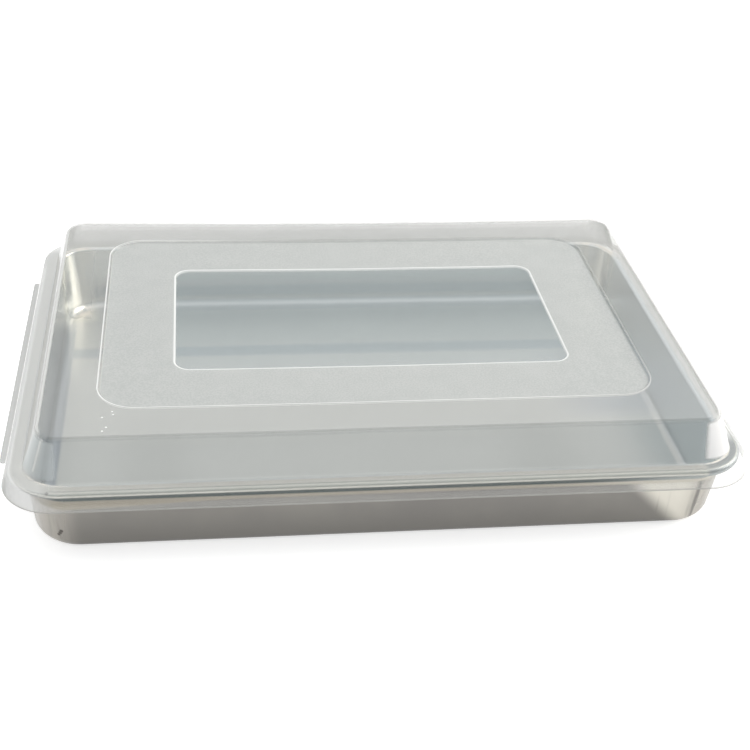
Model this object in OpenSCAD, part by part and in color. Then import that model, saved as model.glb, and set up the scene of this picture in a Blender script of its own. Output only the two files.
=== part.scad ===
// Sheet cake pan with a clear lid: a drawn aluminium pan with a rolled rim, and a one-piece
// moulded plastic lid that rests on the rim. The origin is at the middle of the pan's foot.

/* [Pan] */
// Length of the pan over its rim
pan_length = 454; // [300:1:600]
// Width of the pan over its rim
pan_width = 316; // [220:1:420]
// Height of the pan from its foot to the top of its rim
pan_height = 51; // [35:1:90]
// Corner radius of the pan, outside of the rim
pan_corner = 32; // [28:1:60]
// Thickness of the metal sheet
sheet = 1.0; // [0.6:0.1:1.4]
// Lean of the pan's wall from upright, in degrees
wall_lean = 2; // [0:0.5:8]
// Outside radius of the bend between floor and wall
foot_bend = 7.5; // [3:0.5:9]

/* [Pan rim] */
// Outside radius of the bend between wall and rim
rim_bend = 2.6; // [2:0.2:4]
// Length of the rim's flat top
rim_flat = 4.3; // [3.5:0.1:6]
// Height of the rolled bead
bead = 5.6; // [4.6:0.2:7]
// Length of the bead's flat underside
bead_return = 1.6; // [0.5:0.1:2.2]

/* [Lid] */
// Thickness of the lid's plastic
lid_wall = 1.0; // [0.8:0.1:1.4]
// Height of the lid's top above the pan's rim
lid_rise = 27; // [15:1:38]
// Lean of the lid's wall from upright, in degrees
lid_lean = 20; // [5:1:26]
// Outside radius of the bend round the lid's top
top_bend = 3; // [2:0.5:5]
// Width of the flat ledge that lies on the rim
ledge = 7; // [5:0.5:9]
// Outside radius of the bends on both sides of the ledge
ledge_bend = 2; // [1.6:0.1:3]
// How much larger the skirt's corner radius is than the rim's
skirt_round = 0.5; // [0:0.5:4]
// Gap between the bead and the top of the skirt
skirt_gap = 0.5; // [0.3:0.1:1.5]
// How far the skirt reaches below the top of the rim
skirt_drop = 10.5; // [6:0.5:16]
// How far the skirt spreads outwards on its way down
skirt_flare = 3.5; // [1:0.5:6]

/* [Pull tabs] */
// From the end of a tab to where the skirt's corner starts
tab_inset = 18.5; // [2:0.5:60]
// How far a tab stands out from the skirt's lower edge
tab_reach = 3.5; // [2:0.5:12]
// Thickness of a tab
tab_thick = 1.2; // [0.8:0.1:2]
// Radius of a tab's corners
tab_corner = 2; // [0.5:0.5:2]

/* [Sunk panel and window] */
// From the edge of the lid's flat top to the frosted panel, at the ends
panel_margin_x = 31.5; // [10:0.5:60]
// From the edge of the lid's flat top to the frosted panel, at the sides
panel_margin_y = 28.5; // [10:0.5:60]
// Corner radius of the panel
panel_corner = 24; // [8:1:40]
// Depth of the panel below the lid's top
panel_drop = 1.5; // [0.5:0.1:3]
// From the edge of the panel to the clear window, at the ends
window_margin_x = 46.5; // [8:0.5:90]
// From the edge of the panel to the clear window, at the sides
window_margin_y = 43.5; // [8:0.5:70]
// Corner radius of the window
window_corner = 10.5; // [6:0.5:30]
// Depth of the window below the panel
window_drop = 0.8; // [0.5:0.1:2]
// Slope of the two steps, in degrees
step_slope = 45; // [30:5:60]

/* [Hidden] */
$fn = 96;
arc_step = 10;  // degrees between the points of a bend
lap = 2;        // how far a plate and the sweep round it run into each other
step_inside = 0.1;  // inside radius of the bends round panel and window
tab_root = 0.6;     // share of the plastic's thickness that a tab runs into the skirt

// Pan: x runs outwards from the middle of the corner, and radii go along the middle of the sheet
pan_run_x = pan_length - 2 * pan_corner;
pan_run_y = pan_width - 2 * pan_corner;
wall_turn = 90 - wall_lean;
foot_mid = foot_bend - sheet / 2;
rim_mid = rim_bend - sheet / 2;
bead_mid = (bead - sheet) / 2;
bead_end = bead_mid - sheet / 2;
wall_rise = pan_height - sheet - (foot_mid + rim_mid) * (1 - cos(wall_turn));
wall_slant = wall_rise / cos(wall_lean);
wall_out = (foot_mid + rim_mid) * sin(wall_turn) + wall_slant * sin(wall_lean);
foot_in = pan_corner - bead / 2 - rim_flat - wall_out;
pan_start = [foot_in - lap, sheet / 2, 0];
pan_route = [
    [lap, wall_turn, foot_mid],
    [wall_slant, -wall_turn, rim_mid],
    [rim_flat, -180, bead_mid],
    [bead_return, -90, bead_end]
];

// Lid: the skirt clears the bead, and the ledge lies on the rim
lid_corner = pan_corner + skirt_round;
lid_over = skirt_gap + lid_wall + skirt_flare;
lid_run_x = pan_length + 2 * lid_over - 2 * lid_corner;
lid_run_y = pan_width + 2 * lid_over - 2 * lid_corner;
top_mid = top_bend - lid_wall / 2;
ledge_mid = ledge_bend - lid_wall / 2;
lid_turn = 90 - lid_lean;
skirt_fall = skirt_drop + lid_wall / 2;
skirt_lean = atan(skirt_flare / skirt_fall);
skirt_turn = 90 - skirt_lean;
skirt_slant = (skirt_fall - ledge_mid * (1 - cos(skirt_turn))) / cos(skirt_lean);
skirt_out = ledge_mid * sin(skirt_turn) + skirt_slant * sin(skirt_lean) + lid_wall / 2 * cos(skirt_lean);
rise_mid = lid_rise - lid_wall - (top_mid + ledge_mid) * (1 - cos(lid_turn));
lid_slant = rise_mid / cos(lid_lean);
lid_out = (top_mid + ledge_mid) * sin(lid_turn) + lid_slant * sin(lid_lean);
top_edge = lid_corner - skirt_out - ledge - lid_out;
lid_top = pan_height + lid_rise;
lid_start = [top_edge - lap, lid_top - lid_wall / 2, 0];
lid_route = [
    [lap, -lid_turn, top_mid],
    [lid_slant, lid_turn, ledge_mid],
    [ledge, -skirt_turn, ledge_mid],
    [skirt_slant, 0, 0]
];

// Panel and window: a step down, its outline at the step's upper edge
step_mid = lid_wall / 2 + step_inside;
panel_length = lid_run_x + 2 * (top_edge - panel_margin_x);
panel_width = lid_run_y + 2 * (top_edge - panel_margin_y);
window_length = panel_length - 2 * window_margin_x;
window_width = panel_width - 2 * window_margin_y;
function step_slant(drop) = (drop - 2 * step_mid * (1 - cos(step_slope))) / sin(step_slope);
function step_width(drop) = 2 * step_mid * sin(step_slope) + step_slant(drop) * cos(step_slope);
function step_start(corner, drop) = [corner - step_width(drop) - lap, -drop - lid_wall / 2, 0];
function step_route(drop) = [
    [lap, step_slope, step_mid],
    [step_slant(drop), -step_slope, step_mid],
    [lap, 0, 0]
];

// A bent sheet's section. Its route is a list of moves, each [straight length, turn to the left
// in degrees, radius along the middle of the sheet], from a start of [x, y, direction].
function left(dir) = [-sin(dir), cos(dir)];
function ahead(at, move) = [at[0], at[1]] + move[0] * [cos(at[2]), sin(at[2])];
function hub(at, move) = ahead(at, move) + sign(move[1]) * move[2] * left(at[2]);
function bend_point(at, move, dir, side) = hub(at, move) + (side - sign(move[1]) * move[2]) * left(dir);
function after(at, move) =
    let (end = at[2] + move[1], p = bend_point(at, move, end, 0))
    [p[0], p[1], end];
function at_move(start, route, n) = n == 0 ? start : after(at_move(start, route, n - 1), route[n - 1]);
function move_points(at, move, side) =
    let (steps = max(1, ceil(abs(move[1]) / arc_step)))
    move[1] == 0
        ? [ahead(at, move) + side * left(at[2])]
        : [for (k = [0:steps]) bend_point(at, move, at[2] + move[1] * k / steps, side)];
function side_points(start, route, side) = [
    [start[0], start[1]] + side * left(start[2]),
    for (n = [0:len(route) - 1]) each move_points(at_move(start, route, n), route[n], side)
];
function reversed(v) = [for (k = [len(v) - 1:-1:0]) v[k]];
function strip(start, route, thick) =
    concat(side_points(start, route, -thick / 2), reversed(side_points(start, route, thick / 2)));

// A section swept round a rectangle with round corners
module sweep(run_x, run_y) {
    for (turn = [0, 1, 2, 3]) {
        odd = turn % 2;
        length = odd == 1 ? run_x : run_y;
        rotate([0, 0, 90 * turn])
            translate([(odd == 1 ? run_y : run_x) / 2, length / 2, 0]) {
                rotate_extrude(angle = 90)
                    children();
                rotate([90, 0, 0])
                    linear_extrude(length)
                        children();
            }
    }
}

// The outline of a rectangle with round corners
module round_rect(length, width, corner) {
    square([length, width - 2 * corner], center = true);
    square([length - 2 * corner, width], center = true);
    for (sx = [-1, 1], sy = [-1, 1])
        translate([sx * (length / 2 - corner), sy * (width / 2 - corner)])
            circle(corner);
}

// A flat plate between an outer outline and an optional hole
module plate(length, width, corner, thick) {
    linear_extrude(thick)
        difference() {
            round_rect(length, width, corner);
            children();
        }
}

// Drawn from one sheet of metal: floor, bend, leaning wall, bend, and the edge rolled into a bead
module pan() {
    reach = foot_in - lap / 2;
    color("silver") {
        plate(pan_run_x + 2 * reach, pan_run_y + 2 * reach, reach, sheet);
        sweep(pan_run_x, pan_run_y)
            polygon(strip(pan_start, pan_route, sheet));
    }
}

// A step down round an outline, swept at the height of its upper edge
module step(length, width, corner, drop) {
    sweep(length - 2 * corner, width - 2 * corner)
        polygon(strip(step_start(corner, drop), step_route(drop), lid_wall));
}

// One pull tab, a lip along the skirt's lower edge
module tab() {
    inside = lid_wall * tab_root;
    half = lid_run_y / 2 - tab_inset;
    linear_extrude(tab_thick) {
        translate([-inside, -half])
            square([inside + tab_reach - tab_corner, 2 * half]);
        translate([-inside, -half + tab_corner])
            square([inside + tab_reach, 2 * (half - tab_corner)]);
        for (sy = [-1, 1])
            translate([tab_reach - tab_corner, sy * (half - tab_corner)])
                circle(tab_corner);
    }
}

// Moulded in one piece: top with sunk panel and window, leaning wall, ledge, skirt and tabs
module lid() {
    reach = top_edge - lap / 2;
    panel_in = step_width(panel_drop) + lap / 2;
    window_in = step_width(window_drop) + lap / 2;
    panel_z = lid_top - panel_drop;
    window_z = panel_z - window_drop;
    color("gainsboro", 0.6) {
        sweep(lid_run_x, lid_run_y)
            polygon(strip(lid_start, lid_route, lid_wall));
        translate([0, 0, lid_top - lid_wall])
            plate(lid_run_x + 2 * reach, lid_run_y + 2 * reach, reach, lid_wall)
                round_rect(panel_length + lap, panel_width + lap, panel_corner + lap / 2);
        translate([0, 0, lid_top])
            step(panel_length, panel_width, panel_corner, panel_drop);
        translate([0, 0, panel_z - lid_wall])
            plate(panel_length - 2 * panel_in, panel_width - 2 * panel_in, panel_corner - panel_in, lid_wall)
                round_rect(window_length + lap, window_width + lap, window_corner + lap / 2);
        translate([0, 0, panel_z])
            step(window_length, window_width, window_corner, window_drop);
        translate([0, 0, window_z - lid_wall])
            plate(window_length - 2 * window_in, window_width - 2 * window_in, window_corner - window_in, lid_wall);
        for (end = [0, 180])
            rotate([0, 0, end])
                translate([lid_run_x / 2 + lid_corner, 0, pan_height - skirt_drop])
                    tab();
    }
}

pan();
lid();
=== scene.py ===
import math

import bpy
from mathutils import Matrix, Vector


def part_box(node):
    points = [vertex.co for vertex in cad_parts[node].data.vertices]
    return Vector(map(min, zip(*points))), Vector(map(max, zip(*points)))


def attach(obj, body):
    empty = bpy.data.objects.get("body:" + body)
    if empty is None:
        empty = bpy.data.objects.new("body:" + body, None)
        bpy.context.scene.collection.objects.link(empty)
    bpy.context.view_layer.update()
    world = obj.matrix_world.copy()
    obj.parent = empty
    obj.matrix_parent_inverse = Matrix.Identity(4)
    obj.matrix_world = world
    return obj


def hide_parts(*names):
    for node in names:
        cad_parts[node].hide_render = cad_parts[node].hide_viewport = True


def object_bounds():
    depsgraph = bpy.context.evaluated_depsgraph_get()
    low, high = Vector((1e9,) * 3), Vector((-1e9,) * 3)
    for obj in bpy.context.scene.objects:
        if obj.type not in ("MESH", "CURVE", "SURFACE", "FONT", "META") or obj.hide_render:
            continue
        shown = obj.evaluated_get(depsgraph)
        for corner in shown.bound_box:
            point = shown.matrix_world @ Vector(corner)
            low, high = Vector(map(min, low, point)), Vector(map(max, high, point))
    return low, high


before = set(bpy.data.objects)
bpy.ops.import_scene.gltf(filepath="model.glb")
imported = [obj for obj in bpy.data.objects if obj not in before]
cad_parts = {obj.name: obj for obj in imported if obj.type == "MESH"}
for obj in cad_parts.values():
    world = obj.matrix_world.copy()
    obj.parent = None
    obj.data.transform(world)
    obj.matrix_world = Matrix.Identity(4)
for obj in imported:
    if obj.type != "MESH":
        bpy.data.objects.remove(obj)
cad_low, cad_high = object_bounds()


# Camera: a longish lens above the pan's front long side, turned a little towards the left end,
# as the pan was photographed.
camera_data = bpy.data.cameras.new("camera")
camera_data.sensor_width = 36
camera_data.lens = 61.35
camera = bpy.data.objects.new("camera", camera_data)
camera.location = (-0.1113, -0.7554, 0.5189)
camera.rotation_euler = [math.radians(turn) for turn in (57.079, -3.006, -7.165)]
bpy.context.collection.objects.link(camera)
bpy.context.scene.camera = camera
bpy.context.scene.view_settings.view_transform = "Standard"


# Studio: a wide white floor in a white surround, with one large warm lamp low at the right and a
# soft fill from above. The metal's gloss sees the surround grey in front and dark at the horizon,
# and the floor keeps the pan's shadow.
class Finish:
    """A value or colour in a material. Arithmetic on values adds Math nodes to the material."""

    def __init__(self, tree, socket=None):
        self.tree = tree
        self.socket = socket

    def node(self, kind, inputs=(), output=0, **settings):
        """Adds a node: its settings first, then the values or links of its sockets."""
        made = self.tree.nodes.new("ShaderNode" + kind)
        for name, value in settings.items():
            setattr(made, name, value)
        for name, value in dict(inputs).items():
            if isinstance(value, Finish):
                self.tree.links.new(value.socket, made.inputs[name])
            else:
                made.inputs[name].default_value = value
        return Finish(self.tree, made.outputs[output] if made.outputs else None)

    def math(self, operation, *others):
        """A Math node that starts from this value."""
        return self.node("Math", enumerate((self, *others)), operation=operation)

    def __add__(self, other):
        return self.math("ADD", other)

    def __sub__(self, other):
        return self.math("SUBTRACT", other)

    def __rsub__(self, other):
        return self.node("Math", {0: other, 1: self}, operation="SUBTRACT")

    def __mul__(self, other):
        return self.math("MULTIPLY", other)

    __radd__ = __add__
    __rmul__ = __mul__

    def high(self, other):
        return self.math("MAXIMUM", other)

    def low(self, other):
        return self.math("MINIMUM", other)

    def absolute(self):
        return self.math("ABSOLUTE")

    def fade(self, start, end):
        """0 up to start and 1 from end on, or the other way round where start is the larger."""
        lowest, highest = sorted((start, end))
        at_lowest, at_highest = (0, 1) if end > start else (1, 0)
        values = {
            "Value": self,
            "From Min": lowest,
            "From Max": highest,
            "To Min": at_lowest,
            "To Max": at_highest,
        }
        return self.node("MapRange", values, interpolation_type="SMOOTHSTEP")

    def near(self, value, far, close):
        """1 where this is within close of a value, and 0 where it is further off than far."""
        return (self - value).absolute().fade(far, close)

    def mixed(self, first, second):
        """Goes from the first colour to the second as this value goes from 0 to 1."""
        return self.node("Mix", {0: self, 6: first, 7: second}, output=2, data_type="RGBA")

    def axis(self, name):
        return self.node("SeparateXYZ", {0: self}, output=name)

    def noise(self, scale, stretch=(1, 1, 1), detail=2):
        """Smooth noise around 0.5 on this vector; a small stretch value lengthens the grains."""
        place = self.node("Mapping", {"Vector": self, "Scale": stretch})
        return self.node("TexNoise", {"Vector": place, "Scale": scale, "Detail": detail})


def new_material(name):
    material = bpy.data.materials.new(name)
    material.use_nodes = True
    material.node_tree.nodes.clear()
    return material, Finish(material.node_tree)


def shade(red, green, blue):
    """The colour of an 8-bit pixel, as Blender's linear values."""
    linear = [((value / 255 + 0.055) / 1.055) ** 2.4 for value in (red, green, blue)]
    return (*linear, 1)


def seen_directly(tree):
    """1 for rays that come from the camera, a gloss or a clear wall, and 0 for light that falls on things."""
    rays = [tree.node("LightPath", output=f"Is {kind} Ray") for kind in ("Camera", "Glossy", "Transmission")]
    return rays[0].high(rays[1]).high(rays[2])


floor_size = 12
floor_lift = 0.6
floor_whites = ((0.84, 0.84, 0.84, 1), (0.86, 0.86, 0.86, 1))
bpy.ops.object.select_all(action="DESELECT")
bpy.ops.mesh.primitive_plane_add(size=floor_size, location=(0, 0, cad_low.z))
floor = bpy.context.object
floor.name = "floor"
floor_material, tree = new_material("white floor")
grain = tree.node("TexCoord", output="Object").noise(40)
matte = tree.node("BsdfDiffuse", {"Color": grain.mixed(*floor_whites)})
lift = tree.node("Emission", {"Strength": seen_directly(tree) * floor_lift})
tree.node("OutputMaterial", {"Surface": tree.node("AddShader", {0: matte, 1: lift})})
floor.data.materials.append(floor_material)

surround_level = 0.62
front_level = 0.61
horizon_level = 0.12
white = (1, 1, 1, 1)
front_grey = (front_level * 0.88, front_level, front_level * 1.03, 1)
horizon_grey = (horizon_level * 0.85, horizon_level, horizon_level, 1)
world = bpy.data.worlds.new("white surround")
world.use_nodes = True
world.node_tree.nodes.clear()
tree = Finish(world.node_tree)
way = tree.node("TexCoord", output="Generated")
in_front = way.axis("Y").fade(0.1, -0.5) * tree.node("LightPath", output="Is Glossy Ray")
below_top = way.axis("Z").fade(0.9, 0.5)
at_horizon = way.axis("Z").fade(0.5, 0.15)
tint = (in_front * below_top).mixed(white, front_grey)
tint = (in_front * at_horizon).mixed(tint, horizon_grey)
strength = seen_directly(tree) * (1 - surround_level) + surround_level
tree.node("OutputWorld", {"Surface": tree.node("Background", {"Color": tint, "Strength": strength})})
bpy.context.scene.world = world


def add_lamp(name, place, size, power, tint):
    """A round lamp that shines on the middle of the pan."""
    data = bpy.data.lights.new(name, "AREA")
    data.shape = "DISK"
    data.size = size
    data.energy = power
    data.color = tint
    lamp = bpy.data.objects.new(name, data)
    lamp.location = place
    lamp.rotation_euler = (-Vector(place)).to_track_quat("-Z", "Y").to_euler()
    bpy.context.collection.objects.link(lamp)


add_lamp("side lamp", place=(1.5, 0.1, 0.8), size=1.3, power=14, tint=(1, 0.97, 0.91))
add_lamp("fill lamp", place=(-0.4, 0.2, 1.9), size=1.6, power=12, tint=(0.97, 0.99, 1))
bpy.data.objects["fill lamp"].visible_glossy = False


# Pan: one sheet of aluminium, drawn to a floor with leaning walls, its edge rolled under into a
# bead. It is shaped along the middle of the sheet, from the bead inwards, and then thickened.
sheet = 0.001
pan_corner = 0.032
foot_rounder = 0.0085
wall_lean = 2
foot_bend = 0.0075
rim_bend = 0.0026
rim_flat = 0.0043
bead = 0.0056
bead_return = 0.0016
wrinkle_fade = 0.012
corner_steps = 24
arc_step = 15
cut_spacing = 0.012
smooth_angle = math.radians(40)
pan_low, pan_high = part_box("pan")
pan_size = pan_high - pan_low


def sine(degrees):
    return math.sin(math.radians(degrees))


def cosine(degrees):
    return math.cos(math.radians(degrees))


def outline_face(name, length, width, corner, height):
    """A flat face with round corners, left in edit mode with all of it selected."""
    bpy.ops.object.select_all(action="DESELECT")
    bpy.ops.mesh.primitive_plane_add(size=1, location=(0, 0, height))
    piece = bpy.context.object
    piece.name = piece.data.name = name
    piece.scale = (length, width, 1)
    bpy.ops.object.transform_apply(location=True, rotation=False, scale=True)
    bpy.ops.object.mode_set(mode="EDIT")
    bpy.ops.mesh.select_all(action="SELECT")
    bpy.ops.mesh.bevel(affect="VERTICES", offset=corner, segments=corner_steps, profile=0.5)
    bpy.ops.mesh.select_all(action="SELECT")
    return piece


def press(heading, moves):
    """Insets the selected face step by step, so that it follows a bent sheet from its edge inwards.
    A move is a straight length, then a turn in degrees and its radius. Heading 0 is inwards."""
    for straight, turn, radius in moves:
        steps = [(straight, heading)] if straight else []
        count = math.ceil(abs(turn) / arc_step)
        for number in range(count):
            half = turn / count / 2
            steps.append((2 * radius * sine(abs(half)), heading + (2 * number + 1) * half))
        for length, way in steps:
            bpy.ops.mesh.inset(thickness=length * cosine(way), depth=length * sine(way))
        heading += turn


def joined(pieces):
    """One mesh of several, with the seams between them closed, left in edit mode."""
    bpy.ops.object.select_all(action="DESELECT")
    for piece in pieces:
        piece.select_set(True)
    bpy.context.view_layer.objects.active = pieces[0]
    bpy.ops.object.join()
    bpy.ops.object.mode_set(mode="EDIT")
    bpy.ops.mesh.select_all(action="SELECT")
    bpy.ops.mesh.remove_doubles(threshold=0.00001)
    return pieces[0]


def cut_across(length, width):
    """Cuts lines across the straight stretches of the mesh in edit mode, so that it can bend there."""
    for reach, normal in ((length / 2, (1, 0, 0)), (width / 2, (0, 1, 0))):
        count = round(reach / cut_spacing)
        for number in range(-count, count + 1):
            bpy.ops.mesh.select_all(action="SELECT")
            place = [part * reach * number / count for part in normal]
            bpy.ops.mesh.bisect(plane_co=place, plane_no=normal)


def weigh(piece, name, weight):
    """A vertex group whose weights are a function of each point's place."""
    group = piece.vertex_groups.new(name=name)
    for vertex in piece.data.vertices:
        share = weight(*vertex.co)
        if share > 0:
            group.add([vertex.index], share, "REPLACE")


def apply_modifier(piece, kind, **settings):
    modifier = piece.modifiers.new(kind, kind)
    for name, value in settings.items():
        setattr(modifier, name, value)
    bpy.context.view_layer.objects.active = piece
    bpy.ops.object.modifier_apply(modifier=modifier.name)


wall_turn = 90 - wall_lean
foot_mid = foot_bend - sheet / 2
rim_mid = rim_bend - sheet / 2
bead_mid = (bead - sheet) / 2
wall_rise = pan_size.z - sheet - (foot_mid + rim_mid) * (1 - cosine(wall_turn))
wall_slant = wall_rise / cosine(wall_lean)
bead_outline = (pan_size.x - sheet, pan_size.y - sheet, pan_corner - sheet / 2, pan_high.z - bead / 2)

pan = outline_face("pan_body", *bead_outline)
press(90, [(0, -90, bead_mid), (rim_flat, -wall_turn, rim_mid), (wall_slant, wall_turn, foot_mid)])
bpy.ops.object.mode_set(mode="OBJECT")
bead_under = outline_face("bead_under", *bead_outline)
bpy.ops.mesh.flip_normals()
press(90, [(0, -90, bead_mid), (bead_return, -90, bead_mid - sheet / 2)])
bpy.ops.mesh.delete(type="ONLY_FACE")
bpy.ops.object.mode_set(mode="OBJECT")

pan = joined([pan, bead_under])
straight_x, straight_y = pan_size.x - 2 * pan_corner, pan_size.y - 2 * pan_corner
cut_across(straight_x, straight_y)
bpy.ops.object.mode_set(mode="OBJECT")


def round_corners(piece, straight, extra):
    """Gives the corners a larger radius, its growth a function of the height. Sides stay in line."""
    for vertex in piece.data.vertices:
        growth = extra(vertex.co.z)
        over = [abs(vertex.co[axis]) - straight[axis] / 2 for axis in (0, 1)]
        reach = math.hypot(max(over[0], 0), max(over[1], 0)) or 1
        for axis in (0, 1):
            share = 1 - over[axis] / reach if over[axis] > 0 else 1 + over[axis] / (straight[axis] / 2)
            vertex.co[axis] -= math.copysign(growth * share, vertex.co[axis])


# The corners are rounder at the foot than at the rim
wall_top = pan_high.z - bead


def foot_share(z):
    """0 from the bead up, and 1 where the wall ends at the foot."""
    return min(1, max(0, (wall_top - z) / wall_rise))


round_corners(pan, (straight_x, straight_y), lambda z: foot_rounder * foot_share(z))


def ripple(piece, group, strength, grain, stretch):
    """Presses soft waves into a mesh along its normals, their grain stretched along each axis."""
    waves = bpy.data.textures.new(group, "CLOUDS")
    waves.noise_scale = grain
    guide = bpy.data.objects.new("guide", None)
    guide.scale = stretch
    bpy.context.collection.objects.link(guide)
    bpy.context.view_layer.update()
    apply_modifier(piece, "DISPLACE", texture=waves, texture_coords="OBJECT", texture_coords_object=guide,
                   strength=strength, mid_level=0.5, vertex_group=group)
    bpy.data.objects.remove(guide)


def corner_share(x, y):
    """0 on the straight stretches, up to 1 at the middle of a corner's bend."""
    angle = math.atan2(max(0, abs(y) - straight_y / 2), max(0, abs(x) - straight_x / 2))
    return math.sin(2 * angle)


def off_foot(z):
    """0 on the flat floor, up to 1 where its bend ends."""
    return min(1, max(0, (z - sheet) / foot_bend))


def off_bead(z):
    """0 from the bead up, and 1 once the wall is well below it."""
    return min(1, max(0, (wall_top - z) / wrinkle_fade))


weigh(pan, "draw wrinkles", lambda x, y, z: corner_share(x, y) * min(off_foot(z), off_bead(z)))
ripple(pan, "draw wrinkles", strength=0.0009, grain=0.0045, stretch=(1, 1, 14))
weigh(pan, "sheet waves", lambda x, y, z: off_foot(z) if z < wall_top else 0)
ripple(pan, "sheet waves", strength=0.0005, grain=0.05, stretch=(1, 1, 1))


def outline_distance(place, length, width, corner):
    """How far a point lies outside a round-cornered outline; inside it the value is negative."""
    beyond = [
        place.axis(axis).absolute() - (full / 2 - corner)
        for axis, full in (("X", length), ("Y", width))
    ]
    past = [value.high(0) for value in beyond]
    reach = (past[0] * past[0] + past[1] * past[1]).math("SQRT")
    return reach + beyond[0].high(beyond[1]).low(0) - corner


corner_fade = 0.01


def corner_mask(place):
    """1 at the middle of each corner's bend and 0 on the straight stretches."""
    over = [
        place.axis(axis).absolute() - straight / 2
        for axis, straight in (("X", straight_x), ("Y", straight_y))
    ]
    return over[0].low(over[1]).fade(-corner_fade, corner_fade)


def marks(place, spots, size):
    """1 within small specks round a few places."""
    found = None
    for spot in spots:
        reach = place.node("VectorMath", {0: place, 1: spot}, output="Value", operation="DISTANCE")
        speck = reach.fade(size, size * 0.5)
        found = speck if found is None else found.high(speck)
    return found


def layered(colour, layers):
    """Lays paints over a colour one after another, each where its mask is above 0."""
    for mask, paint in layers:
        colour = mask.mixed(colour, paint)
    return colour


# Colours of the bead and the wall below it: bead_white is a painted highlight, bead_grey, the thin line's
# grey and the under colours are painted shade, and the tans are a painted reflection. mark_dark is for real
# wear marks.
bead_pale = shade(208, 207, 199)
bead_white = shade(250, 250, 248)
bead_grey = shade(150, 155, 155)
bead_line_grey = shade(172, 174, 169)
under_dark = shade(58, 69, 69)
under_grey = shade(150, 156, 155)
tan_left = shade(146, 139, 124)
tan_middle = shade(158, 151, 137)
tan_right = shade(188, 184, 172)
mark_dark = shade(92, 88, 84)
mark_size = 0.0016


def drawn_metal(name, paints, roughness, inside):
    """Aluminium with soft clouds, fine draw streaks up its walls and glossier corners. Its colour also
    holds painted light: a warm painted highlight in the corners, and painted reflections and painted
    shade on its floor, walls, ends and bead."""
    material, tree = new_material(name)
    place = tree.node("TexCoord", output="Object")
    along, across, up = [place.axis(axis) for axis in "XYZ"]
    clouds = place.noise(14, detail=4).fade(0.35, 0.65)
    streaks = place.noise(160, stretch=(1, 1, 0.06), detail=3)
    corners = corner_mask(place)
    off_floor = up.fade(0.001, 0.006)
    on_floor = 1 - off_floor
    floor_band = across.fade(0.064, 0.072) * across.fade(0.085, 0.078) * on_floor
    right_floor = along.fade(0.13, 0.18) * across.fade(0.09, 0.03) * across.fade(-0.035, -0.01) * on_floor
    # Painted shade and painted reflections: darker towards the foot, a painted darker band and a darker patch
    # of painted reflection on the floor, and each end wall painted lighter or darker as light falls on it
    layers = [
        (up.fade(0.036, 0.001), paints["foot"]),
        (up.fade(0.007, 0.001), paints["low"]),
        (floor_band, paints["floor band"]),
        (right_floor, paints["right floor"]),
        (along.fade(-0.206, -0.209) * across.fade(0.128, 0.1), paints["left end"]),
        (along.fade(0.2065, 0.209) * off_floor, paints["right end"]),
    ]
    if inside:
        # Inside, painted reflections on the back wall: lighter high up, and a darker band and a darker bend
        # low down
        back_wall = across.fade(0.141, 0.145)
        layers += [
            (back_wall * up.fade(0.018, 0.03), paints["back top"]),
            (back_wall * up.fade(0.021, 0.014) * up.fade(0.006, 0.011), paints["back low"]),
            (across.fade(0.134, 0.139) * up.fade(0.007, 0.004), paints["back bend"]),
        ]
    else:
        # Outside, a streaked painted highlight up the front right corner
        front_right = (along + up).fade(0.182, 0.2) * across.fade(-0.12, -0.132) * streaks.fade(0.25, 0.5)
        layers.append((front_right, paints["front right"]))
    # A warm, streaked painted highlight in the corners
    layers.append((corners * streaks.fade(0.2, 0.55), paints["corners"]))

    # The rolled edge is duller. Its colour holds painted light and shade: a painted highlight at the
    # right end, painted shade at the front right corner, a thin painted darker line along its top, and
    # painted shade underneath, where it meets the wall
    from_edge = outline_distance(place, pan_size.x, pan_size.y, pan_corner)
    rolled = from_edge.fade(-0.0068, -0.006)
    painted_bead_line = from_edge.near(-0.0021, far=0.0007, close=0.0002) * up.fade(0.049, 0.0495)
    bead_paint = along.fade(0.2, 0.215).mixed(bead_pale, bead_white)
    bead_paint = (along.fade(0.195, 0.2) * across.fade(-0.112, -0.132)).mixed(bead_paint, bead_grey)
    under_paint = along.fade(0.12, 0.205).mixed(under_dark, under_grey)
    layers += [
        (rolled, bead_paint),
        (painted_bead_line, bead_line_grey),
        (rolled * up.fade(0.0485, 0.0471), under_paint),
    ]

    # Below the bead the outer wall has a line of painted shade that touches the bead, and under that a
    # tan band of painted reflection of the bead
    if not inside:
        below_bead = 1 - rolled
        tan = along.fade(-0.08, -0.16).mixed(tan_middle, tan_left)
        tan = along.fade(0.08, 0.19).mixed(tan, tan_right)
        tan_band = (up + along.fade(-0.08, -0.2) * 0.004).fade(0.0347, 0.0367) * up.fade(0.0395, 0.037)
        layers += [
            (below_bead * tan_band, tan),
            (below_bead * up.fade(0.0374, 0.0388), under_paint),
        ]
    layers.append((marks(place, paints["marks"], mark_size), mark_dark))

    colour = layered(clouds.mixed(paints["base"], paints["dull"]), layers)
    rough = streaks * 0.06 + clouds * 0.04 + rolled * 0.15 - corners * 0.08 + (roughness - 0.05)
    bump = tree.node("Bump", {"Height": streaks, "Strength": 0.03, "Distance": 0.0002})
    values = {"Base Color": colour, "Metallic": 1.0, "Roughness": rough, "Normal": bump}
    tree.node("OutputMaterial", {"Surface": tree.node("BsdfPrincipled", values)})
    return material


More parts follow.
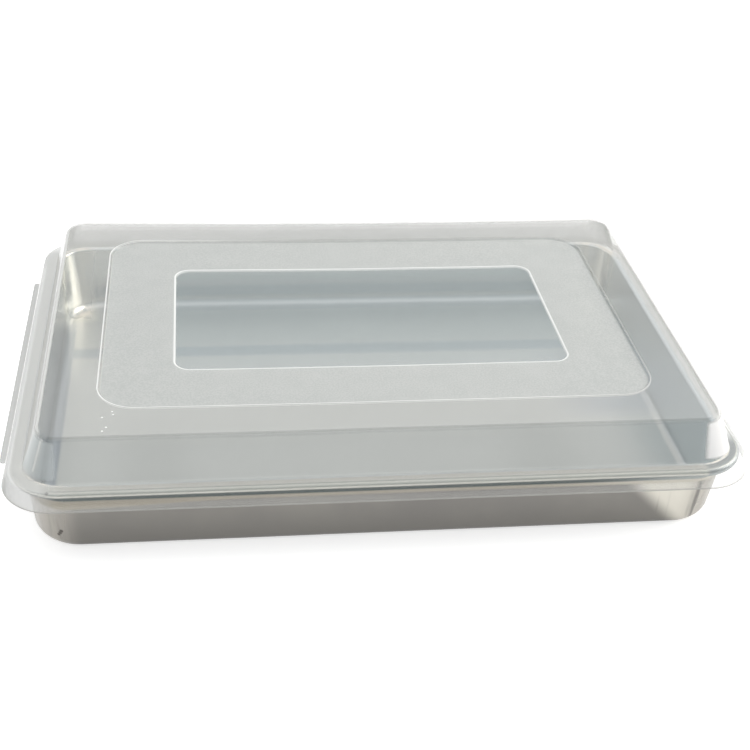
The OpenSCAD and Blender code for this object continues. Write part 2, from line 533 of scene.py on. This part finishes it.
# In both tables base and dull are the metal's own colours and marks are real wear marks; the other colours
# are painted light, shade and reflections.
inside_paints = {
    "base": shade(208, 213, 214),
    "dull": shade(202, 207, 208),
    "foot": shade(205, 208, 205),
    "low": shade(205, 208, 205),
    "floor band": shade(176, 184, 187),
    "right floor": shade(184, 190, 194),
    "left end": shade(164, 172, 178),
    "right end": shade(215, 225, 230),
    "back top": shade(239, 242, 242),
    "back low": shade(166, 178, 183),
    "back bend": shade(190, 196, 198),
    "corners": shade(255, 250, 238),
    "marks": ((-0.2031, -0.1564, 0.0505), (-0.2231, -0.1373, 0.0505)),
}
outside_paints = {
    "base": shade(133, 131, 126),
    "dull": shade(123, 121, 118),
    "foot": shade(124, 122, 118),
    "low": shade(110, 109, 106),
    "floor band": shade(124, 122, 118),
    "right floor": shade(124, 122, 118),
    "left end": shade(158, 155, 148),
    "right end": shade(136, 133, 127),
    "front right": shade(200, 197, 188),
    "corners": shade(166, 162, 155),
    "marks": ((-0.1991, -0.1462, 0.0121), (-0.1982, -0.1464, 0.0138), (-0.2002, -0.1459, 0.0105)),
}
pan.data.materials.append(drawn_metal("pan inside", inside_paints, roughness=0.31, inside=True))
pan.data.materials.append(drawn_metal("pan outside", outside_paints, roughness=0.33, inside=False))

# The second material goes to the underside when the sheet gets its thickness
apply_modifier(pan, "SOLIDIFY", thickness=sheet, offset=0, use_even_offset=True, material_offset=1)
bpy.ops.object.select_all(action="DESELECT")
pan.select_set(True)
bpy.ops.object.shade_smooth_by_angle(angle=smooth_angle)
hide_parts("pan")
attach(pan, "root")


# Lid: one moulding of clear, slightly milky plastic: a flat top with a frosted panel sunk in it
# and a clear window sunk in that, leaning walls, a ledge that lies on the rim, a flared skirt
# round the bead, and a pull tab along the skirt's edge at both ends.
lid_wall = 0.001
rest_gap = 0.00005
lid_lean = 20
top_bend = 0.003
top_rounder = 0.0045
ledge = 0.007
ledge_bend = 0.002
skirt_drop = 0.0105
skirt_flare = 0.0035
skirt_round = 0.0005
tab_reach = 0.0035
tab_inset = 0.0185
tab_corner = 0.002
panel_margin = (0.0315, 0.0285)
panel_corner = 0.024
panel_drop = 0.0015
window_margin = (0.0465, 0.0435)
window_corner = 0.0105
window_drop = 0.0008
step_slope = 45
step_mid = lid_wall / 2 + 0.0001
lid_low, lid_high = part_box("lid")
skirt_length = lid_high.x - lid_low.x - 2 * tab_reach
skirt_width = lid_high.y - lid_low.y
lid_corner = pan_corner + skirt_round

top_mid = top_bend - lid_wall / 2
ledge_mid = ledge_bend - lid_wall / 2
lid_turn = 90 - lid_lean
skirt_low = pan_high.z - skirt_drop
skirt_fall = skirt_drop + lid_wall / 2
skirt_lean = math.degrees(math.atan(skirt_flare / skirt_fall))
skirt_turn = 90 - skirt_lean
skirt_slant = (skirt_fall - ledge_mid * (1 - cosine(skirt_turn))) / cosine(skirt_lean)
skirt_out = ledge_mid * sine(skirt_turn) + skirt_slant * sine(skirt_lean) + lid_wall / 2 * cosine(skirt_lean)
lid_rise = lid_high.z - pan_high.z
rise_mid = lid_rise - lid_wall - (top_mid + ledge_mid) * (1 - cosine(lid_turn))
lid_slant = rise_mid / cosine(lid_lean)
lid_out = (top_mid + ledge_mid) * sine(lid_turn) + lid_slant * sine(lid_lean)
edge_in = lid_wall / 2 * cosine(skirt_lean)
top_in = skirt_out + ledge + lid_out

lid = outline_face(
    "lid_body",
    skirt_length - 2 * edge_in,
    skirt_width - 2 * edge_in,
    lid_corner - edge_in,
    skirt_low + rest_gap,
)
press(90 - skirt_lean, [
    (skirt_slant, -skirt_turn, ledge_mid),
    (ledge, lid_turn, ledge_mid),
    (lid_slant, -lid_turn, top_mid),
])
bpy.ops.mesh.delete(type="ONLY_FACE")
bpy.ops.object.mode_set(mode="OBJECT")


def risen(z):
    """0 on the rim and below it, up to 1 at the lid's top."""
    return max(0, min(1, (z - pan_high.z) / lid_rise))


# The corners are rounder at the top than at the skirt
run_x, run_y = skirt_length - 2 * lid_corner, skirt_width - 2 * lid_corner
round_corners(lid, (run_x, run_y), lambda z: top_rounder * risen(z))
top_level = lid_high.z - lid_wall / 2 + rest_gap


def sunk_face(name, length, width, corner, level, drop):
    """A face that steps down all round from its outline."""
    piece = outline_face(name, length, width, corner, level)
    slant = (drop - 2 * step_mid * (1 - cosine(step_slope))) / sine(step_slope)
    press(0, [(0, -step_slope, step_mid), (slant, step_slope, step_mid)])
    return piece


panel_size = [full - 2 * (top_in + margin) for full, margin in zip((skirt_length, skirt_width), panel_margin)]
window_size = [full - 2 * margin for full, margin in zip(panel_size, window_margin)]
panel = sunk_face("panel", *panel_size, panel_corner, top_level, panel_drop)
bpy.ops.mesh.delete(type="ONLY_FACE")
bpy.ops.object.mode_set(mode="OBJECT")
window = sunk_face("window", *window_size, window_corner, top_level - panel_drop, window_drop)
bpy.ops.object.mode_set(mode="OBJECT")
lid = joined([lid, panel, window])


def bridge_at(piece, level):
    """Closes the flat gap between two open edges that lie at one level."""
    level_slack = 0.00005
    bpy.ops.mesh.select_mode(type="EDGE")
    bpy.ops.mesh.select_all(action="DESELECT")
    bpy.ops.mesh.select_non_manifold(extend=False)
    bpy.ops.object.mode_set(mode="OBJECT")
    points = piece.data.vertices
    for edge in piece.data.edges:
        at_level = all(abs(points[end].co.z - level) < level_slack for end in edge.vertices)
        edge.select = edge.select and at_level
    bpy.ops.object.mode_set(mode="EDIT")
    bpy.ops.mesh.bridge_edge_loops(number_cuts=3, interpolation="LINEAR")


bridge_at(lid, top_level)
bridge_at(lid, top_level - panel_drop)
cut_across(run_x, run_y)
bpy.ops.mesh.select_all(action="SELECT")
bpy.ops.mesh.normals_make_consistent(inside=False)


def pull_tab(piece, end):
    """Extrudes the skirt's lower edge at one end into a tab and rounds the tab's corners."""
    half = run_y / 2 - tab_inset
    height_slack = 0.0002
    side_slack = 0.0001
    for side in (-1, 1):
        bpy.ops.mesh.select_all(action="SELECT")
        bpy.ops.mesh.bisect(plane_co=(0, side * half, 0), plane_no=(0, 1, 0))
    bpy.ops.mesh.select_mode(type="EDGE")
    bpy.ops.mesh.select_all(action="DESELECT")
    bpy.ops.object.mode_set(mode="OBJECT")
    points = piece.data.vertices
    for edge in piece.data.edges:
        ends = [points[number].co for number in edge.vertices]
        low_end = all(co.z < skirt_low + height_slack and co.x * end > run_x / 2 for co in ends)
        edge.select = low_end and all(abs(co.y) < half + side_slack for co in ends)
    bpy.ops.object.mode_set(mode="EDIT")
    bpy.ops.mesh.extrude_region_move(TRANSFORM_OT_translate={"value": (end * (tab_reach + edge_in), 0, 0)})
    bpy.ops.mesh.select_mode(type="VERT")
    bpy.ops.object.mode_set(mode="OBJECT")
    for point in piece.data.vertices:
        point.select = point.select and abs(point.co.y) > half - side_slack
    bpy.ops.object.mode_set(mode="EDIT")
    bpy.ops.mesh.bevel(affect="VERTICES", offset=tab_corner, segments=4, profile=0.5)


for end in (-1, 1):
    pull_tab(lid, end)
bpy.ops.object.mode_set(mode="OBJECT")

# The thin top sags, most at its middle and towards the back, and has soft waves
deepest_sag = 0.0024
waves_from = pan_high.z + 0.004
top_half = (run_x / 2 + lid_corner - top_in, run_y / 2 + lid_corner - top_in)


def sag(x, y, z):
    """The share of the deepest sag: 0 along the front and at the ends, and most behind the middle."""
    along = max(0, 1 - (x / top_half[0]) ** 2)
    back = max(0, min(1, (y / top_half[1] + 1) / 1.5))
    return along * math.sqrt(back) * (1 - 0.2 * max(0, y / top_half[1])) * risen(z)


weigh(lid, "sag", sag)
apply_modifier(lid, "DISPLACE", direction="Z", strength=-deepest_sag, mid_level=0, vertex_group="sag")
weigh(lid, "top waves", lambda x, y, z: 1 if z > waves_from else 0)
ripple(lid, "top waves", strength=0.0004, grain=0.06, stretch=(1, 1, 1))
apply_modifier(lid, "SOLIDIFY", thickness=lid_wall, offset=0, use_even_offset=True)
bpy.ops.object.select_all(action="DESELECT")
lid.select_set(True)
bpy.ops.object.shade_smooth_by_angle(angle=smooth_angle)


# The plastic. A haze is how much of what lies behind the sheet is hidden, seen straight on.
clear_haze = 0.11
frost_haze = 0.5
line_haze = 0.7
speck_haze = 0.8
left_haze = 0.3
back_haze = 0.33
corner_haze = 0.85
ridge_haze = 0.45
edge_haze = 0.45
right_edge_haze = 0.3
left_skirt_haze = 0.6
left_tab_haze = 0.3
right_skirt_haze = 0.1
side_fold_haze = 0.5
front_fold_haze = 0.3
haze_power = 1.25
flat_gloss = 0.05
slanting_gloss = 0.6
clear_roughness = 0.07
frost_roughness = 0.4
plastic, tree = new_material("milky plastic")
place = tree.node("TexCoord", output="Object")
along, across, up = [place.axis(axis) for axis in "XYZ"]
from_panel = outline_distance(place, *panel_size, panel_corner)
from_window = outline_distance(place, *window_size, window_corner)
from_fold = outline_distance(place, *[2 * half for half in top_half], lid_corner - top_in + top_rounder)
frost = from_panel.fade(-0.001, -0.0016) * from_window.fade(-0.0008, 0)
in_window = from_window.fade(0.0005, -0.001)
stipple = place.noise(900, detail=3)
patches = place.noise(70, detail=4)

# Five small bright specks on the top at the front left
speck_size = 0.0011
speck_places = [
    (-0.166, -0.1143),
    (-0.1653, -0.1175),
    (-0.1716, -0.1203),
    (-0.1687, -0.1307),
    (-0.1708, -0.1346),
]
specks = marks(place, [(x, y, lid_high.z) for x, y in speck_places], speck_size)

# Lines where the sheet is bent sharply, as painted highlights round the panel and the window and
# along the side folds, and a painted darker line along the front fold. The panel's own painted
# highlight is brightest at its front left, where the light falls.
panel_lit = (along + across * 1.2).fade(0.12, -0.05) * 0.7 + 0.3
panel_line = from_panel.near(0.0002, far=0.0006, close=0.0002) * panel_lit
window_line = from_window.near(-0.0001, far=0.0009, close=0.0004)
lines = panel_line.high(window_line)
fold_line = from_fold.near(0.0012, far=0.0014, close=0.0004)
side_fold = along.absolute().fade(0.205, 0.2085) * fold_line
front_fold = across.fade(-0.137, -0.1395) * fold_line * (1 - side_fold)

# The walls below the flat top, with painted light in places: painted light makes the front right
# corner white and the right end nearly so, and the left end, the left front corner and the back are
# painted lighter and hazier than the front. A painted highlight runs down the corner ridges.
corner_start = (0.195, 0.127)
on_top = up.fade(lid_high.z - 0.004, lid_high.z - 0.001)
off_top = 1 - on_top


def lid_corner_mask(side_x, side_y):
    """1 on the wall in one of the lid's corners: side_x is 1 at the right, side_y is 1 at the back."""
    beyond_both = (along * side_x - corner_start[0]).low(across * side_y - corner_start[1])
    return beyond_both.fade(0.0005, 0.005) * off_top * up.fade(0.0525, 0.055)


white_corner = lid_corner_mask(1, -1)
left_corner = lid_corner_mask(-1, -1)
back = (across.fade(0.138, 0.146) * off_top).high(lid_corner_mask(1, 1))
left_end = along.fade(-0.19, -0.21) * off_top
right_end = along.fade(0.19, 0.212) * off_top * (1 - back)
right_fold = along.fade(0.2, 0.206)
beyond = [value.absolute() - start for value, start in zip((along, across), corner_start)]
ridge = (beyond[0] - beyond[1]).absolute().fade(0.0022, 0.0006)
ridge = ridge * beyond[0].fade(0.006, 0.009) * off_top * up.fade(0.054, 0.058) * across.fade(0.05, -0.05)

# The skirt, its lower edge and the tabs: a pale painted highlight along the lower edge, and painted
# light and shade on the skirt at both ends, nearly white at the right
off_tab = along.absolute().fade(0.2325, 0.2315)
skirt_edge = up.fade(skirt_low + 0.0009, skirt_low + 0.0004) * off_tab
left_skirt = along.fade(-0.2275, -0.229) * off_top
left_tab = along.fade(-0.2315, -0.2322)
right_skirt = along.fade(0.2275, 0.229) * off_top

# The slanting way through a sheet is longer, so it looks hazier there, and its gloss is stronger.
# The right end stands against the light, so its haze nearly goes, most of all above the rim.
facing = tree.node("LayerWeight", {"Blend": 0.5}, output="Facing")
slant = (1 - facing).high(0.08).math("POWER", -haze_power)
thinner = right_end * (up.fade(0.0505, 0.0525) * 0.55 + 0.35)
haze = (frost * (frost_haze - clear_haze) + clear_haze) * (1 - thinner)
hazier = [
    lines * line_haze,
    left_end * left_haze,
    skirt_edge * (edge_haze - right_end * (edge_haze - right_edge_haze)),
    specks * speck_haze,
    ridge * ridge_haze,
    left_corner * left_haze,
    left_skirt * (left_skirt_haze - left_tab * (left_skirt_haze - left_tab_haze)),
    right_skirt * right_skirt_haze,
    back * back_haze,
    white_corner * corner_haze,
    side_fold * side_fold_haze,
    front_fold * front_fold_haze,
]
for part in hazier:
    haze = haze.high(part)
haze = 1 - (1 - haze).math("POWER", slant)
dulled = right_end.high(right_fold) * 0.9
gloss = (facing.math("POWER", 5) * slanting_gloss + flat_gloss) * (1 - dulled)
cover = haze + (1 - haze) * gloss
mirror = (cover - haze).math("DIVIDE", cover)

# Most light passes through milky plastic, so its shadow and its mirror image in the metal are faint
shadow_loss = 0.6
mirror_loss = 0.85
rays = [tree.node("LightPath", output=f"Is {kind} Ray") for kind in ("Shadow", "Diffuse", "Glossy")]
cover = cover * (1 - rays[0].high(rays[1]) * shadow_loss)
cover = cover * (1 - rays[2] * mirror_loss)

# The plastic's milky colour, with painted light and shade laid over it: lighter at the left, on the top
# and at the ends, back and corners, painted highlights on the ridges, the skirt edge and the side folds,
# a painted darker line on the front fold and a bluish tint in the window. Then the frost, the painted
# highlight lines with the real specks, and the gloss.
line_white = (0.9, 0.91, 0.9, 1)
corner_white = (0.97, 0.97, 0.97, 1)
milk_and_painted_light = patches.fade(0.3, 0.7).mixed(shade(161, 163, 160), shade(167, 169, 166))
milk_and_painted_light = layered(milk_and_painted_light, [
    (along.fade(-0.08, -0.19), shade(184, 186, 183)),
    (on_top, shade(187, 187, 183)),
    (in_window, shade(174, 183, 184)),
    (left_end, shade(218, 219, 217)),
    (left_skirt, shade(193, 194, 191)),
    (right_end, shade(252, 253, 252)),
    (left_corner, shade(222, 227, 226)),
    (back, shade(240, 241, 239)),
    (ridge, shade(236, 237, 234)),
    (skirt_edge, shade(196, 195, 190)),
    (white_corner, corner_white),
    (right_skirt, shade(247, 247, 249)),
    (side_fold, along.fade(-0.1, 0.1).mixed(shade(228, 229, 226), shade(248, 249, 249))),
    (front_fold, shade(150, 153, 150)),
])
frosted = (stipple * 0.8 + patches * 0.2).fade(0.4, 0.6).mixed(shade(193, 196, 194), shade(204, 206, 204))
paint = layered(milk_and_painted_light, [
    (frost, frosted),
    (lines.high(specks), line_white),
    (mirror, white),
])
bump = tree.node("Bump", {"Height": stipple * frost, "Strength": 0.2, "Distance": 0.0003})
values = {
    "Base Color": paint,
    "Metallic": mirror,
    "Roughness": frost * frost_roughness + clear_roughness,
    "Specular IOR Level": 0.1,
    "Alpha": cover,
    "Normal": bump,
}
tree.node("OutputMaterial", {"Surface": tree.node("BsdfPrincipled", values)})
lid.data.materials.append(plastic)
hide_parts("lid")
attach(lid, "root")
